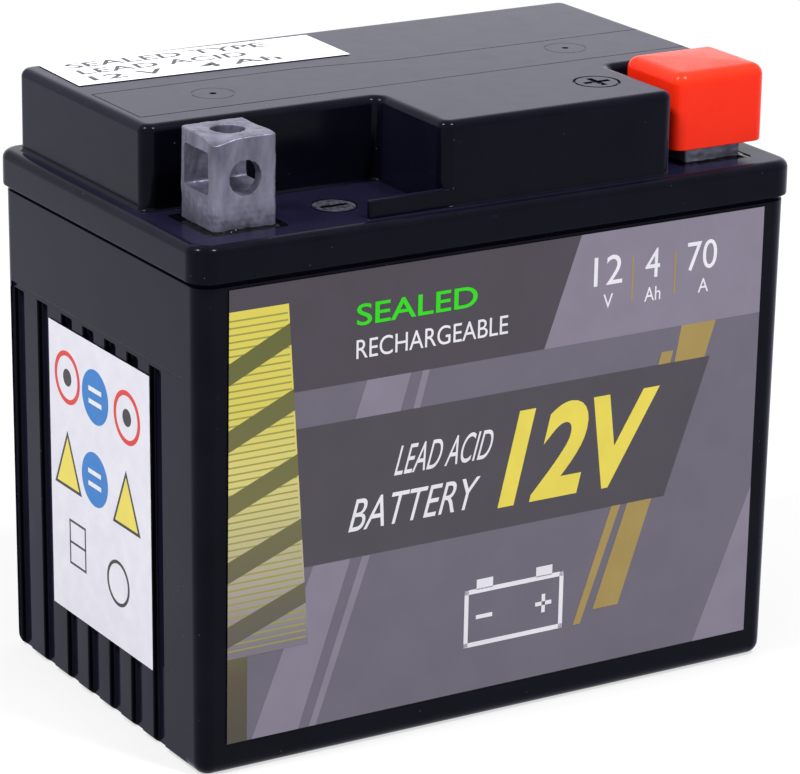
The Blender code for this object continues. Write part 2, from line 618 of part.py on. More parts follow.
def make_plate_group(cell, positive):
    """The plates of one sign in a cell, with their lugs, strap and weld tab, as one casting."""
    middles = plate_middles(cell, positive)
    half = (POSITIVE_PLATE if positive else NEGATIVE_PLATE) / 2
    joined_wall = cell + 1 if positive else cell
    side_y = link_y(joined_wall)
    first, rest = middles[0], middles[1:]
    name = "%s_plates_%d" % ("positive" if positive else "negative", cell + 1)
    look = BROWN_PASTE if positive else GREY_PASTE
    half_width = PLATE_WIDTH / 2
    lug0, lug1 = side_y - LUG_WIDTH / 2, side_y + LUG_WIDTH / 2
    group = add_object(name, box(first - half, first + half, -half_width, half_width,
                                 PLATE_BOTTOM, PLATE_TOP), look)
    sink = GAP
    for middle in rest:
        join(group, box(middle - half, middle + half, -half_width, half_width,
                        PLATE_BOTTOM, PLATE_TOP))
    for middle in middles:
        join(group, box(middle - half, middle + half, lug0, lug1, PLATE_TOP - sink,
                        STRAP_BOTTOM + sink))
    left = cell_left(cell) + GAP
    right = cell_left(cell) + CELL_WIDTH - GAP
    ends_battery = joined_wall in (0, CELLS)
    strap0 = middles[0] - half
    strap1 = middles[-1] + half
    if positive and not ends_battery:
        strap1 = right
    if not positive and not ends_battery:
        strap0 = left
    join(group, box(strap0, strap1, side_y - STRAP_WIDTH / 2, side_y + STRAP_WIDTH / 2,
                    STRAP_BOTTOM, STRAP_TOP))
    if not ends_battery:
        tab0 = right - TAB if positive else left
        join(group, box(tab0, tab0 + TAB, lug0, lug1, STRAP_TOP - sink, TAB_TOP))


def strip_outline(route, half):
    """The outline of a strip, half as wide each side of a route that turns squarely."""
    sides = ([], [])
    for i, (x, y) in enumerate(route):
        nx, ny = 0.0, 0.0
        for a, b in ((i - 1, i), (i, i + 1)):
            if a >= 0 and b < len(route):
                dx, dy = route[b][0] - route[a][0], route[b][1] - route[a][1]
                size = math.hypot(dx, dy)
                nx, ny = nx - dy / size, ny + dx / size
        sides[0].append((x - half * nx, y - half * ny))
        sides[1].append((x + half * nx, y + half * ny))
    return sides[0] + list(reversed(sides[1]))


def make_separator(cell):
    """One glass mat folded to and fro between the plates, seen from above as a serpentine."""
    plates = sorted(plate_middles(cell, True) + plate_middles(cell, False))
    thicker = (POSITIVE_PLATE - NEGATIVE_PLATE) / 4
    fold = PLATE_WIDTH / 2 + GAP + MAT / 2
    route = []
    for number, (left, right) in enumerate(zip(plates, plates[1:])):
        up = number % 2 == 0
        lane = (left + right) / 2 - (thicker if up else -thicker)
        route += [(lane, -fold if up else fold), (lane, fold if up else -fold)]
    route[0] = (route[0][0], -PLATE_WIDTH / 2)
    route[-1] = (route[-1][0], math.copysign(PLATE_WIDTH / 2, route[-1][1]))
    ring = strip_outline(route, MAT / 2)
    sheet = loft([(ring, PLATE_BOTTOM), (ring, PLATE_TOP + GAP)])
    add_object("separator_%d" % (cell + 1), sheet, GLASS_MAT)


def make_cells():
    for cell in range(CELLS):
        make_plate_group(cell, True)
        make_plate_group(cell, False)
        make_separator(cell)
    for wall in range(1, CELLS):
        middle = cell_left(wall) - PARTITION / 2
        plug = cylinder(LINK_RADIUS, middle - PARTITION / 2, middle + PARTITION / 2, 12, "X",
                        (link_y(wall), LINK_Z))
        smooth(add_object("cell_link_%d" % wall, plug, LEAD))


clear_scene()
make_container()
make_lid()
make_vent_cover()
make_arrestors()
make_valve_caps()
make_terminals()
make_terminal_cap()
make_labels()
make_cells()
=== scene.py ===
import math

import bpy
import numpy as np
from mathutils import Matrix, Vector


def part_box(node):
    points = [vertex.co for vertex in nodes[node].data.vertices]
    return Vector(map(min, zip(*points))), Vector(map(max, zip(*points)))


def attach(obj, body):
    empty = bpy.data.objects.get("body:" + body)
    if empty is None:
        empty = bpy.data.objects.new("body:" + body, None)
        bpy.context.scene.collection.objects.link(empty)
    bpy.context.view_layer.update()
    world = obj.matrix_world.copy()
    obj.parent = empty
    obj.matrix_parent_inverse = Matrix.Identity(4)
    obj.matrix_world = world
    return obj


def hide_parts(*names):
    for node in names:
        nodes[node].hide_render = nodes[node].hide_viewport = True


# Looks for the sealed motorcycle battery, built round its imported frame. Sizes are in millimetres
# in the dictionaries and become metres when a mesh is made. +Z is up and the label faces -Y.
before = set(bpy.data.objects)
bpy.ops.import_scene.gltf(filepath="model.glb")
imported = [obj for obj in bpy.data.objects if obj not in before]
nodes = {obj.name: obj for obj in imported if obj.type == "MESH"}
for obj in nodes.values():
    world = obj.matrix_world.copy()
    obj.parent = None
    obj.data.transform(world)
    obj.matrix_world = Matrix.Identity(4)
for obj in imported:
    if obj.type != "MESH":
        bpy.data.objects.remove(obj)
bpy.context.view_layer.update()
mm = 0.001
print("frame loaded:", len(nodes), "nodes")


def boxOf(node):
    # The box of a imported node, in millimetres.
    low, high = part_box(node)
    return np.array(low) / mm, np.array(high) / mm


containerLow, containerHigh = boxOf("container")
lidLow, lidHigh = boxOf("lid")
negLow, negHigh = boxOf("negative_terminal")
posLow, posHigh = boxOf("positive_terminal")
capLow, capHigh = boxOf("terminal_cap")
stripLow, stripHigh = boxOf("vent_cover")


# An outline is a pair, its points and their outward normals. A shape is a pair, points and faces.
def roundedPath(corners, radii, steps=8):
    # Walks the corners anticlockwise. Each becomes an arc tangent to its two edges, and every point
    # keeps its outward normal, so point minus inset times normal gives a parallel outline.
    corners = np.array(corners, float)
    points, normals = [], []
    for i, radius in enumerate(radii):
        here = corners[i]
        into = here - corners[i - 1]
        away = corners[(i + 1) % len(corners)] - here
        into, away = into / np.hypot(*into), away / np.hypot(*away)
        turn = math.atan2(into[0] * away[1] - into[1] * away[0], into @ away)
        side = math.copysign(1.0, turn)
        start = here - into * radius * math.tan(abs(turn) / 2)
        centre = start + side * radius * np.array([-into[1], into[0]])
        angle = np.linspace(0, turn, steps + 1)
        out = np.stack([into[1] * np.cos(angle) + into[0] * np.sin(angle),
                        -into[0] * np.cos(angle) + into[1] * np.sin(angle)], -1)
        points.append(centre + side * radius * out)
        normals.append(out)
    return np.concatenate(points), np.concatenate(normals)


def rectanglePath(x0, x1, y0, y1, radius, steps=8):
    # A rectangle whose four corners are arcs of one radius.
    return roundedPath([(x0, y0), (x1, y0), (x1, y1), (x0, y1)], [radius] * 4, steps)


def circlePath(x, y, radius, count=48):
    # A circle: centre plus radius times (cos a, sin a), which is also the outward normal.
    angle = np.linspace(0, 2 * math.pi, count, endpoint=False)
    out = np.stack([np.cos(angle), np.sin(angle)], -1)
    return np.array([x, y]) + radius * out, out


def atHeight(outline, z):
    # A flat outline laid at one height.
    return np.column_stack([outline, np.full(len(outline), z)])


def skin(rings, looped=False):
    # Quads from each ring of points to the next. Both ends are closed, or the last ring meets the first.
    count = len(rings[0])
    index = np.arange(count)
    after = (index + 1) % count
    faces = []
    for k in range(len(rings) if looped else len(rings) - 1):
        low, high = k * count, (k + 1) % len(rings) * count
        faces += np.stack([low + index, low + after, high + after, high + index], -1).tolist()
    if not looped:
        faces += [index[::-1].tolist(), (index + (len(rings) - 1) * count).tolist()]
    return np.concatenate(rings), faces


def loft(path, levels, capInset=0.3):
    # Rings of one outline stacked upwards: ring k is the outline moved in by inset k, at height k.
    # A last ring just inside each end keeps the flat face's shading flat. No inset may pass the
    # outline's own corner radius, or the ring crosses itself.
    points, normals = path
    first, last = levels[0], levels[-1]
    levels = [(first[0] + capInset, first[1])] + list(levels) + [(last[0] + capInset, last[1])]
    return skin([atHeight(points - inset * normals, z) for inset, z in levels])


def roundOver(radius, top, steps=7, inset=0.0):
    # A quarter circle from the wall up onto the top: inset r(1 - cos a), height top - r(1 - sin a).
    angle = np.linspace(0, math.pi / 2, steps)
    return list(zip(inset + radius * (1 - np.cos(angle)), top - radius * (1 - np.sin(angle))))


def roundUnder(radius, bottom, steps=6, inset=0.0):
    # The same quarter circle turned over about the height of the bottom.
    return [(a, 2 * bottom - z) for a, z in reversed(roundOver(radius, bottom, steps, inset))]


def meshOf(name, points, faces):
    # Points come in millimetres and go into the mesh in metres.
    mesh = bpy.data.meshes.new(name)
    mesh.from_pydata((np.asarray(points) * mm).tolist(), [], faces)
    mesh.update()
    return mesh


def rawPiece(name, shape):
    piece = bpy.data.objects.new(name, meshOf(name, *shape))
    bpy.context.scene.collection.objects.link(piece)
    return piece


def bake(piece):
    # Applies what the modifiers make, so the finished shape is in the mesh.
    view = bpy.context.evaluated_depsgraph_get()
    result = bpy.data.meshes.new_from_object(piece.evaluated_get(view))
    old = piece.data
    piece.modifiers.clear()
    piece.data = result
    bpy.data.meshes.remove(old)


def combine(piece, shapes, how="DIFFERENCE"):
    # One exact boolean step for each shape, in order.
    for shape in shapes:
        tool = rawPiece("tool", shape)
        step = piece.modifiers.new("step", "BOOLEAN")
        step.operation, step.solver, step.object = how, "EXACT", tool
        bake(piece)
        bpy.data.objects.remove(tool)


def block(x0, x1, y0, y1, z0, z1):
    # A plain box of eight corners.
    points = [(x, y, z) for z in (z0, z1) for x, y in ((x0, y0), (x1, y0), (x1, y1), (x0, y1))]
    return np.array(points, float), [[3, 2, 1, 0], [4, 5, 6, 7], [0, 1, 5, 4], [1, 2, 6, 5],
                                     [2, 3, 7, 6], [3, 0, 4, 7]]


def finishPiece(piece, materials, stands, body="root", sharp=34):
    # Finishes, smooth shading with edges over the sharp angle kept, and the piece's place in the frame.
    piece.data.materials.clear()
    for material in materials:
        piece.data.materials.append(material)
    piece.data.polygons.foreach_set("use_smooth", [True] * len(piece.data.polygons))
    piece.data.set_sharp_from_angle(angle=math.radians(sharp))
    weigh = piece.modifiers.new("weigh", "WEIGHTED_NORMAL")
    weigh.keep_sharp = True
    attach(piece, body)
    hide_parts(*stands)


def newFinish(name):
    # An empty finish, its node tree and its main shader.
    finish = bpy.data.materials.new(name)
    finish.use_nodes = True
    tree = finish.node_tree
    return finish, tree, tree.nodes["Principled BSDF"]


def noise(tree, scale, detail=4.0, stretch=(1, 1, 1)):
    # Noise fixed to the piece by its own coordinates, stretched along each axis.
    where = tree.nodes.new("ShaderNodeTexCoord")
    turn = tree.nodes.new("ShaderNodeMapping")
    turn.inputs["Scale"].default_value = stretch
    pattern = tree.nodes.new("ShaderNodeTexNoise")
    pattern.inputs["Scale"].default_value = scale
    pattern.inputs["Detail"].default_value = detail
    tree.links.new(where.outputs["Object"], turn.inputs["Vector"])
    tree.links.new(turn.outputs["Vector"], pattern.inputs["Vector"])
    return pattern.outputs["Fac"]


def spread(tree, value, low, high, fromLow=0.3, fromHigh=0.7):
    # Maps a pattern's usual span onto low to high.
    node = tree.nodes.new("ShaderNodeMapRange")
    node.inputs["From Min"].default_value = fromLow
    node.inputs["From Max"].default_value = fromHigh
    node.inputs["To Min"].default_value = low
    node.inputs["To Max"].default_value = high
    tree.links.new(value, node.inputs["Value"])
    return node.outputs["Result"]


def tint(tree, value, dark, light, at):
    # A blend from dark to light as the value goes from the first of the two places to the second.
    ramp = tree.nodes.new("ShaderNodeValToRGB")
    ramp.color_ramp.elements[0].position, ramp.color_ramp.elements[1].position = at
    ramp.color_ramp.elements[0].color = (*dark, 1)
    ramp.color_ramp.elements[1].color = (*light, 1)
    tree.links.new(value, ramp.inputs["Fac"])
    return ramp.outputs["Color"]


def dusted(tree, base, scale, size, share, colour):
    # Dust specks: weight = nearness to the cell's centre times the cell's own chance of being kept.
    cells = tree.nodes.new("ShaderNodeTexVoronoi")
    cells.inputs["Scale"].default_value = scale
    where = tree.nodes.new("ShaderNodeTexCoord")
    tree.links.new(where.outputs["Object"], cells.inputs["Vector"])
    near = spread(tree, cells.outputs["Distance"], 1.0, 0.0, 0.4 * size, size)
    chance = tree.nodes.new("ShaderNodeSeparateColor")
    tree.links.new(cells.outputs["Color"], chance.inputs["Color"])
    kept = spread(tree, chance.outputs[0], 0.0, 1.0, 1 - share, 1.0)
    both = tree.nodes.new("ShaderNodeMath")
    both.operation = "MULTIPLY"
    tree.links.new(near, both.inputs[0])
    tree.links.new(kept, both.inputs[1])
    mix = tree.nodes.new("ShaderNodeMix")
    mix.data_type = "RGBA"
    weight, firstColour, secondColour = mix.inputs[0], mix.inputs[6], mix.inputs[7]
    tree.links.new(both.outputs[0], weight)
    tree.links.new(base, firstColour)
    secondColour.default_value = (*colour, 1)
    return mix.outputs[2]


def bump(tree, shader, height, strength, depth):
    # Each new bump stands on the one before it.
    node = tree.nodes.new("ShaderNodeBump")
    node.inputs["Strength"].default_value = strength
    node.inputs["Distance"].default_value = depth * mm
    tree.links.new(height, node.inputs["Height"])
    last = shader.inputs["Normal"]
    if last.is_linked:
        tree.links.new(last.links[0].from_socket, node.inputs["Normal"])
    tree.links.new(node.outputs["Normal"], last)


wear = dict(scale=2.7, detail=6.0, bumpDetail=3.0, sheenRough=0.35)


def makeFinish(name, dark, light, rough, colourScale, bumps=(), metal=0.0, ior=1.45,
               detail=4.0, stretch=(1, 1, 1), sheen=0.0, sheenTint=(1, 1, 1),
               glossTint=(1, 1, 1), at=(0.35, 0.65), specks=None):
    # Colour and roughness both drift with noise on the piece; each bump is (scale, strength, depth).
    finish, tree, shader = newFinish(name)
    shader.inputs["Metallic"].default_value = metal
    shader.inputs["IOR"].default_value = ior
    shader.inputs["Sheen Weight"].default_value = sheen
    shader.inputs["Sheen Roughness"].default_value = wear["sheenRough"]
    shader.inputs["Sheen Tint"].default_value = (*sheenTint, 1)
    shader.inputs["Specular Tint"].default_value = (*glossTint, 1)
    colour = tint(tree, noise(tree, colourScale, detail, stretch), dark, light, at)
    if specks:
        colour = dusted(tree, colour, **specks)
    tree.links.new(colour, shader.inputs["Base Color"])
    worn = noise(tree, colourScale * wear["scale"], wear["detail"], stretch)
    tree.links.new(spread(tree, worn, *rough), shader.inputs["Roughness"])
    for scale, strength, depth in bumps:
        bump(tree, shader, noise(tree, scale, wear["bumpDetail"], stretch), strength, depth)
    return finish


finishes = {
    "mouldedBlack": dict(dark=(0.0010, 0.0012, 0.0030), light=(0.0024, 0.0026, 0.0054),
                         rough=(0.13, 0.21), colourScale=90, ior=1.17, sheen=0.24,
                         sheenTint=(0.38, 0.35, 1.0), glossTint=(0.78, 0.77, 1.0),
                         bumps=((1400, 0.05, 0.01), (60, 0.06, 0.05)),
                         specks=dict(scale=760, size=0.085, share=0.22,
                                     colour=(0.15, 0.15, 0.18))),
    "etchedBlack": dict(dark=(0.006, 0.006, 0.010), light=(0.060, 0.060, 0.080),
                        rough=(0.30, 0.55), colourScale=1500, ior=1.30, bumps=((2600, 0.6, 0.05),)),
    "glossBlack": dict(dark=(0.001, 0.001, 0.002), light=(0.004, 0.004, 0.006), rough=(0.05, 0.14),
                       colourScale=900, ior=1.16, bumps=((1500, 0.30, 0.05),),
                       specks=dict(scale=1100, size=0.16, share=0.35,
                                   colour=(0.35, 0.35, 0.40))),
    "castLead": dict(dark=(0.095, 0.092, 0.132), light=(0.225, 0.220, 0.300), rough=(0.34, 0.60),
                     colourScale=330, metal=0.75, detail=8.0, stretch=(1, 1, 0.35), at=(0.3, 0.7),
                     bumps=((2600, 0.60, 0.06), (900, 0.60, 0.12))),
    "redCap": dict(dark=(0.93, 0.022, 0.004), light=(1.00, 0.030, 0.008), rough=(0.22, 0.32),
                   colourScale=70, ior=1.25, bumps=((1200, 0.06, 0.02), (110, 0.10, 0.05))),
    "paperWhite": dict(dark=(0.77, 0.76, 0.86), light=(0.83, 0.82, 0.90), rough=(0.42, 0.55),
                       colourScale=300, bumps=((2500, 0.06, 0.01),)),
    "valveRubber": dict(dark=(0.020, 0.020, 0.020), light=(0.040, 0.040, 0.038), rough=(0.7, 0.9),
                        colourScale=500, bumps=((2500, 0.25, 0.03),)),
    "porousDisc": dict(dark=(0.58, 0.55, 0.48), light=(0.80, 0.78, 0.72), rough=(0.85, 1.0),
                       colourScale=1800, bumps=((3500, 0.8, 0.08),)),
    "positivePaste": dict(dark=(0.075, 0.030, 0.018), light=(0.15, 0.070, 0.040), rough=(0.8, 1.0),
                          colourScale=700, bumps=((1800, 0.6, 0.08),)),
    "negativePaste": dict(dark=(0.14, 0.14, 0.15), light=(0.25, 0.25, 0.26), rough=(0.7, 0.95),
                          colourScale=700, metal=0.2, bumps=((1800, 0.6, 0.08),)),
    "glassMat": dict(dark=(0.70, 0.70, 0.68), light=(0.88, 0.88, 0.86), rough=(0.9, 1.0),
                     colourScale=900, stretch=(1, 1, 0.2), sheen=0.2, bumps=((3000, 0.7, 0.06),)),
}
made = {name: makeFinish(name, **given) for name, given in finishes.items()}


ink = dict(rough=(0.29, 0.41), grain=0.035, scale=160, fadeScale=430, ior=1.34,
           bump=(2200, 0.05, 0.01))


def inkFinish(name, colour):
    # Printed ink: its colour drifts by the grain each way.
    dark = tuple(c * (1 - ink["grain"]) for c in colour)
    light = tuple(min(1.0, c * (1 + ink["grain"])) for c in colour)
    return makeFinish(name, dark, light, ink["rough"], ink["scale"], ior=ink["ior"], bumps=(ink["bump"],))


inks = {
    "inkUpper": (0.066, 0.056, 0.074), "inkBand": (0.071, 0.062, 0.080),
    "inkMid": (0.150, 0.136, 0.182), "inkPale": (0.240, 0.214, 0.286),
    "inkYellow": (0.840, 0.700, 0.100), "inkOlive": (0.330, 0.320, 0.075),
    "inkGold": (0.380, 0.270, 0.088), "inkGreen": (0.028, 0.700, 0.006),
    "inkWhite": (0.840, 0.830, 0.900), "inkRed": (0.720, 0.030, 0.028),
    "inkBlue": (0.012, 0.190, 0.580), "inkBlack": (0.016, 0.015, 0.020),
}
made.update({name: inkFinish(name, colour) for name, colour in inks.items()})


def fadeFinish(name, stops):
    # Ink that changes with height: share = (z - lowest) / (highest - lowest), read off a ramp.
    finish, tree, shader = newFinish(name)
    low, high = stops[0][0], stops[-1][0]
    where = tree.nodes.new("ShaderNodeTexCoord")
    split = tree.nodes.new("ShaderNodeSeparateXYZ")
    tree.links.new(where.outputs["Object"], split.inputs["Vector"])
    share = spread(tree, split.outputs["Z"], 0.0, 1.0, low * mm, high * mm)
    ramp = tree.nodes.new("ShaderNodeValToRGB")
    for _ in stops[2:]:
        ramp.color_ramp.elements.new(0.5)
    for element, (z, colour) in zip(ramp.color_ramp.elements, stops):
        element.position = (z - low) / (high - low)
        element.color = (*colour, 1)
    tree.links.new(share, ramp.inputs["Fac"])
    tree.links.new(ramp.outputs["Color"], shader.inputs["Base Color"])
    worn = noise(tree, ink["fadeScale"])
    tree.links.new(spread(tree, worn, *ink["rough"]), shader.inputs["Roughness"])
    shader.inputs["IOR"].default_value = ink["ior"]
    scale, strength, depth = ink["bump"]
    bump(tree, shader, noise(tree, scale, wear["bumpDetail"]), strength, depth)
    return finish


fades = {
    "fadeYellow": ((21, (0.20, 0.18, 0.22)), (30, (0.39, 0.34, 0.30)), (40, (0.56, 0.51, 0.27)),
                   (50, (0.72, 0.64, 0.22)), (62, (0.72, 0.63, 0.12)), (80, (0.76, 0.66, 0.11))),
    "fadeOlive": ((6, (0.078, 0.066, 0.050)), (16, (0.098, 0.080, 0.052)),
                  (27, (0.170, 0.160, 0.072)), (40, (0.240, 0.225, 0.082))),
    "fadeMoss": ((20, (0.110, 0.100, 0.090)), (45, (0.170, 0.160, 0.060)),
                 (78, (0.120, 0.130, 0.035))),
}
made.update({name: fadeFinish(name, stops) for name, stops in fades.items()})
print("finishes made:", len(made))


containerSizes = dict(shoulder=82.25, draft=0.65, corner=3.2, baseRound=2.3, wallRings=12,
                      neckInset=1.0, neckStart=0.25, neckRise=0.1, neckEdge=0.2,
                      panelInset=0.5, panelTop=66.4, panelFront=-29.0, panelBack=31.85,
                      panelFadeFrom=0.4, panelFade=0.6, panelRunOut=0.56, firstGroove=-19.0,
                      pitch=7.8, extra=1.1, grooves=7, grooveTop=65.3, half=1.85, depth=1.0,
                      lip=0.30, foot=0.35, flange=0.6, skim=0.02, endWall=3.2, sideWall=2.2,
                      floor=2.5, cellTop=90, partition=1.5, cells=6, wallGap=0.15, capInset=0.1,
                      panelRings=(-2.0, 20.0, 40.0), grooveRings=(-2.0, 30.0), panelOut=3,
                      grooveOut=2, cutCorner=0.1, panelCorner=0.25)
cs = containerSizes
halfX, halfY = containerHigh[0], containerHigh[1]


def lean(z):
    # The wall's draft: how far it has moved in at height z, falling evenly to nothing at the shoulder.
    return cs["draft"] * np.clip(1 - np.asarray(z, float) / cs["shoulder"], 0, 1)


def leanLoft(path, heights, shifts, side):
    # A cutter for one end: its outline, drawn from the wall's face inwards, is carried up the leaning
    # wall; each ring is moved inwards by its own shift.
    points, _ = path
    rings = []
    for z, shift in zip(heights, shifts):
        x = side * (halfX - lean(z) - shift - points[:, 0])
        rings.append(atHeight(np.column_stack([x, points[:, 1]]), z))
    points, faces = skin(rings)
    return points, [face[::-1] for face in faces] if side > 0 else faces


def grooveOutline(y):
    # One groove across the wall: a channel of the given depth with rounded lips and feet.
    h, d, out, wide = cs["half"], cs["depth"], -cs["skim"], cs["half"] + cs["flange"]
    beyond, small, lip, foot = -cs["grooveOut"], cs["cutCorner"], cs["lip"], cs["foot"]
    corners = [(beyond, y - wide), (out, y - wide), (out, y - h), (d, y - h),
               (d, y + h), (out, y + h), (out, y + wide), (beyond, y + wide)]
    return roundedPath(corners, [small, small, lip, foot, foot, lip, small, small], 4)


def makeContainer():
    # One outline carried up the leaning walls, then stepped in to the neck that the lid covers. Cut out
    # of it: six equal cells with partitions between, and on each end a sunk panel with its grooves.
    outline = rectanglePath(-halfX, halfX, -halfY, halfY, cs["corner"], 10)
    base = roundUnder(cs["baseRound"], 0.0, 8, cs["draft"])
    wallHeights = np.linspace(base[-1][1] + 1, cs["shoulder"] - cs["wallGap"], cs["wallRings"])
    walls = [(float(lean(z)), z) for z in wallHeights]
    neck = [(cs["neckStart"], cs["shoulder"]), (cs["neckInset"], cs["shoulder"] + cs["neckRise"]),
            (cs["neckInset"], containerHigh[2] - cs["neckEdge"]),
            (cs["neckInset"] + cs["neckEdge"], containerHigh[2])]
    piece = rawPiece("containerShell", loft(outline, base + walls + neck, cs["capInset"]))
    innerX, innerY = halfX - cs["draft"] - cs["endWall"], halfY - cs["draft"] - cs["sideWall"]
    width = (2 * innerX - (cs["cells"] - 1) * cs["partition"]) / cs["cells"]
    left = -innerX + np.arange(cs["cells"]) * (width + cs["partition"])
    combine(piece, [block(x, x + width, -innerY, innerY, cs["floor"], cs["cellTop"]) for x in left])
    grooveY = cs["firstGroove"] + cs["pitch"] * np.arange(cs["grooves"])
    grooveY[-2:] += cs["extra"] * np.array([1, 2])
    inset, front, back = cs["panelInset"], cs["panelFront"], cs["panelBack"]
    beyond, small = -cs["panelOut"], cs["cutCorner"]
    panel = roundedPath([(beyond, front), (inset, front), (inset, back), (beyond, back)],
                        [small, cs["panelCorner"], small, small], 4)
    fade = np.linspace(0, 1, 7)
    fadeHeights = cs["panelTop"] - cs["panelFadeFrom"] + cs["panelFade"] * fade
    fadeShifts = -cs["panelRunOut"] * (1 - np.cos(fade * math.pi)) / 2
    for side in (-1, 1):
        combine(piece, [leanLoft(panel, np.concatenate([cs["panelRings"], fadeHeights]),
                                 np.concatenate([[0, 0, 0], fadeShifts]), side)])
        for y in grooveY:
            heights = [*cs["grooveRings"], cs["grooveTop"]]
            slot = leanLoft(grooveOutline(y), heights, [inset] * len(heights), side)
            combine(piece, [slot])
    finishPiece(piece, [made["mouldedBlack"]], ["container"])
    print("container made:", len(piece.data.polygons), "faces")


makeContainer()

lidSizes = dict(skirt=83.0, rim=89.0, corner=3.9, rimRound=1.5, top=103.0, edge=1.4, blockCorner=2.2,
                innerCorner=1.6, baseFillet=0.6, halfLength=54.2, back=32.3, recess=-12.9,
                front=-33.0, noseLeft=-11.3, noseRight=33.4, ribLeft=-24.8, ribThick=1.2,
                ribTop=92.0, ribCorner=0.55, ribRound=0.35, ribBury=3.5, pitMargin=1.6,
                pitDepth=1.3, pitCorner=1.0, channel=(-50.5, 52.2, -6.0, 5.9), channelFloor=93.5,
                stripThick=1.8, neckRoom=0.35, plusX=25.5, plusY=-21.5, minusX=-25.6,
                minusY=-23.3, markRadius=4.0, markWidth=0.50, markDepth=0.30, markReach=2.5,
                markBar=0.55, valvePitch=17.7167, valveRadius=3.2, valveBore=1.6, valveTop=97.5,
                skirtEase=(0.25, 0.07), blockBury=0.8, ribSink=0.7, ribClear=0.01, past=0.5,
                insideEdge=0.05)
ls = lidSizes
stripY = (stripLow[1] + stripHigh[1]) / 2
valveX = ls["valvePitch"] * (np.arange(6) - 2.5)
seamCorners = [(-52.0, -7.5), (58.0, -7.5), (58.0, 7.2), (4.0, 7.2), (-13.0, 9.6), (-52.0, 9.6)]
seamPath = roundedPath(seamCorners, [0.4, 0.5, 0.5, 6, 6, 0.4], 4)


def blockShape(inset=0.0, low=None):
    # The raised block and its nose, as one outline with rounded corners: a cove at the foot, a plain
    # wall and a quarter round on top. Given a low height, the wall starts there and has no cove.
    s = ls
    far, left, right = s["halfLength"], s["noseLeft"], s["noseRight"]
    corners = [(-far, s["recess"]), (left, s["recess"]), (left, s["front"]), (right, s["front"]),
               (right, s["recess"]), (far, s["recess"]), (far, s["back"]), (-far, s["back"])]
    c, k = s["blockCorner"], s["innerCorner"]
    path = roundedPath(corners, [c, k, c, c, k, c, c, c], 9)
    angle = np.linspace(0, math.pi / 2, 6)
    f = s["baseFillet"]
    cove = list(zip(-f * (1 - np.sin(angle)), s["rim"] + f * (1 - np.cos(angle))))
    foot = [(-f, s["rim"] - s["blockBury"])] + cove if low is None else [(0.0, low)]
    return loft(path, [(a + inset, z) for a, z in foot + roundOver(s["edge"], s["top"], 9)])


def ringShape(x, y, outer, inner, z0, z1, count=56):
    # A square-section ring: four circles joined round in a loop.
    circle = circlePath(0, 0, 1.0, count)[0]
    return skin([atHeight(circle * r + (x, y), z)
                 for r, z in ((outer, z0), (outer, z1), (inner, z1), (inner, z0))], looped=True)


def disc(x, y, radius, z0, z1, count=40):
    # A solid cylinder from one height to the other.
    return loft(circlePath(x, y, radius, count), [(0, z0), (0, z1)], capInset=min(0.2, radius / 3))


